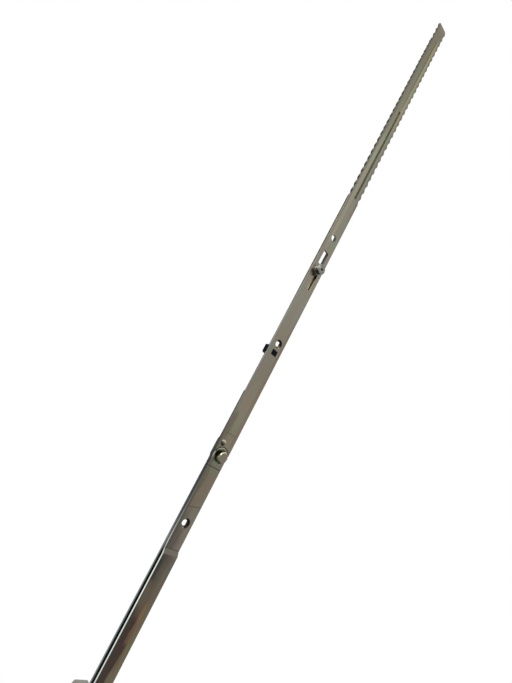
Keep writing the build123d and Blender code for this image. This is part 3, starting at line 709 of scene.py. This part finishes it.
def stud_steel():
    """Pale end of the stud, its rounded rim and flank with painted highlights and shade, and painted
    shade where it stands in the eyelet.
    """
    material, tree, shader = new_material("stud_steel", 1.0, 0.25)
    place, axis = object_place(tree)
    # Painted highlight on the rounded rim towards the upper left, painted shade below.
    facing = add_group(tree, light_side, Direction=(0.0, -0.55, 0.83)).outputs["Facing"]
    rounded_light_and_shade = ramp_along(tree, facing, [
        (0.20, (0.030, 0.028, 0.022)),
        (0.50, (0.160, 0.145, 0.112)),
        (0.70, (0.300, 0.270, 0.200)),
        (0.85, (0.780, 0.730, 0.560)),
        (1.00, (0.780, 0.730, 0.560)),
    ])
    side = add_group(tree, sheared_side, Vector=place)
    # Painted shade on the flank, with a painted highlight low on its left.
    low_left = add_group(tree, light_side, Direction=(0.0, -0.85, -0.53)).outputs["Facing"]
    flank_light_and_shade = ramp_along(tree, low_left, [
        (0.60, (0.045, 0.045, 0.032)),
        (0.93, (0.080, 0.085, 0.060)),
        (0.99, (0.600, 0.610, 0.540)),
    ])
    flat = add_group(tree, rolled_surface, Vector=place)
    end = mix_colour(tree, 0.2, (0.180, 0.160, 0.122, 1), flat.outputs["Lines"], "OVERLAY")
    coloured = mix_colour(tree, side.outputs["Slope"], end, rounded_light_and_shade)
    coloured = mix_colour(tree, side.outputs["Mask"], coloured, flank_light_and_shade)
    # Painted greenish shade on the part of the stud below the face, in the eyelet.
    sunk_shade = map_range(tree, axis["X"], FLAT_FRONT_X - 0.0010, FLAT_FRONT_X - 0.0004, 1.0, 0.0)
    coloured = paint(tree, coloured, (0.075, 0.092, 0.052), sunk_shade, 0.9)
    passivate(tree, shader, place, coloured, 0.25)
    add_bump(tree, shader, flat.outputs["Height"], 0.00001, 0.5)
    return material


def dome_steel():
    """Headed dome, with a painted highlight in a ring near its top and painted shade below."""
    material, tree, shader = new_material("dome_steel", 1.0, 0.25)
    place, _ = object_place(tree)
    # Painted highlight in a ring near the top of the dome, painted shade below.
    facing = add_group(tree, light_side, Direction=(0.0, 0.35, 0.94)).outputs["Facing"]
    rounded_light_and_shade = ramp_along(tree, facing, [
        (0.22, (0.022, 0.022, 0.020)),
        (0.40, (0.110, 0.105, 0.085)),
        (0.58, (0.230, 0.215, 0.175)),
        (0.72, (0.600, 0.580, 0.470)),
        (0.90, (0.230, 0.215, 0.175)),
    ])
    passivate(tree, shader, place, rounded_light_and_shade, 0.25)
    grain = add_group(tree, turned_grain, Vector=place)
    add_bump(tree, shader, grain.outputs["Height"], 0.00001, 0.5)
    return material


dress(stud_steel(), "locating_stud")
dress(dome_steel(), "domed_rivet")


def rivet_steel():
    material, tree, shader = new_material("rivet_steel", 1.0, 0.30)
    place, _ = object_place(tree)
    passivate(tree, shader, place, (0.30, 0.28, 0.23, 1), 0.3)
    grain = add_group(tree, turned_grain, Vector=place)
    add_bump(tree, shader, grain.outputs["Height"], 0.00001, 0.5)
    return material


dress(rivet_steel(), "rod_splice_rivets", "case_rivets", "shell_rivets", "handle_screw_bushes")


# Plastic guides
# Black glass-filled nylon, injection moulded, with a fine spark-eroded grain. A peg in a window of
# the faceplate holds each guide round the rod.

def black_plastic():
    material, tree, shader = new_material("black_plastic", 0.0)
    shader.inputs["Specular IOR Level"].default_value = 0.05
    place, _ = object_place(tree)
    grain = stretched_noise(tree, place, (3000, 3000, 3000), detail=2.0)
    tone = colour_ramp(tree, grain, [(0.3, (0.002, 0.002, 0.004)), (0.7, (0.005, 0.005, 0.009))])
    set_input(tree, shader.inputs["Base Color"], tone)
    add_bump(tree, shader, grain, 0.00003, 0.5)
    return material


dress(black_plastic(), "upper_rod_guide", "lower_rod_guide")


# Gear case and follower
# Zinc die castings, left as cast and passivated: matt, grey and slightly mottled. The case's halves
# are riveted together round the follower, and riveted to the main faceplate.

def cast_zinc():
    material, tree, shader = new_material("cast_zinc", 1.0, 0.55)
    place, _ = object_place(tree)
    passivate(tree, shader, place, (0.30, 0.29, 0.26, 1), 0.25)
    skin = stretched_noise(tree, place, (900, 900, 900), detail=4.0)
    add_bump(tree, shader, skin, 0.00006, 0.6)
    return material


dress(cast_zinc(), "case_left_half", "case_right_half", "follower")


# Floor, backdrop and light
# A plain white studio. The floor fades to plain white away from the object, so no horizon shows.

FLOOR_DROP = 0.0002             # floor below the lowest point of the gear


def seen_straight(tree):
    """1 for what the camera sees, directly or in a bright surface, and 0 for soft light."""
    path = tree.nodes.new("ShaderNodeLightPath")
    seen = math_node(tree, "MAXIMUM", path.outputs["Is Camera Ray"], path.outputs["Is Glossy Ray"])
    return math_node(tree, "MAXIMUM", seen, path.outputs["Is Transmission Ray"])


def studio_floor():
    bpy.ops.mesh.primitive_plane_add(size=8.0, location=(0, 0, cad_low[2] - FLOOR_DROP))
    floor = bpy.context.object
    floor.name = "studio_floor"
    material, tree, shader = new_material("floor_white", 0.0, 0.7)
    shader.inputs["Base Color"].default_value = (0.9, 0.9, 0.9, 1)
    place, _ = object_place(tree)
    distance = tree.nodes.new("ShaderNodeVectorMath")
    distance.operation = "LENGTH"
    tree.links.new(place, distance.inputs[0])
    far = map_range(tree, distance.outputs["Value"], 0.10, 0.45)
    glow = tree.nodes.new("ShaderNodeEmission")
    blend = tree.nodes.new("ShaderNodeMixShader")
    tree.links.new(math_node(tree, "MULTIPLY", far, seen_straight(tree)), blend.inputs[0])
    tree.links.new(shader.outputs[0], blend.inputs[1])
    tree.links.new(glow.outputs[0], blend.inputs[2])
    output = tree.nodes["Material Output"]
    tree.links.new(blend.outputs[0], output.inputs["Surface"])
    floor.data.materials.append(material)


studio_floor()

world = bpy.data.worlds.new("studio")
world.use_nodes = True
bpy.context.scene.world = world
background = world.node_tree.nodes["Background"]
background.inputs["Color"].default_value = (1, 1, 1, 1)
seen = seen_straight(world.node_tree)
strength = map_range(world.node_tree, seen, 0.0, 1.0, 0.55, 1.0, smooth=False)
set_input(world.node_tree, background.inputs["Strength"], strength)


def soft_lamp(name, place, aim, size, power):
    lamp = bpy.data.lights.new(name, "AREA")
    lamp.size = size
    lamp.energy = power
    holder = bpy.data.objects.new(name, lamp)
    bpy.context.scene.collection.objects.link(holder)
    holder.location = place
    holder.rotation_euler = (Vector(aim) - Vector(place)).to_track_quat("-Z", "Y").to_euler()


soft_lamp("key_lamp", (1.1, -1.6, 1.9), (0.0, 0.0, 0.4), 1.0, 12.0)


# Camera
# It stands about 0.4 m from the strip, in front of it, to its left and low, and leans to the right.

camera_place = Vector((0.30733, -0.25718, 0.24589))
camera_aim = Vector((0.0150, -0.02661, 0.35747))
camera_lean = radians(28.365)

camera_data = bpy.data.cameras.new("camera")
camera_data.lens = 22.006
camera = bpy.data.objects.new("camera", camera_data)
bpy.context.scene.collection.objects.link(camera)
camera.location = camera_place
upright = (camera_aim - camera_place).to_track_quat("-Z", "Y")
camera.rotation_euler = (upright @ Quaternion((0, 0, 1), camera_lean)).to_euler()
bpy.context.scene.camera = camera

bpy.context.scene.view_settings.view_transform = "Standard"
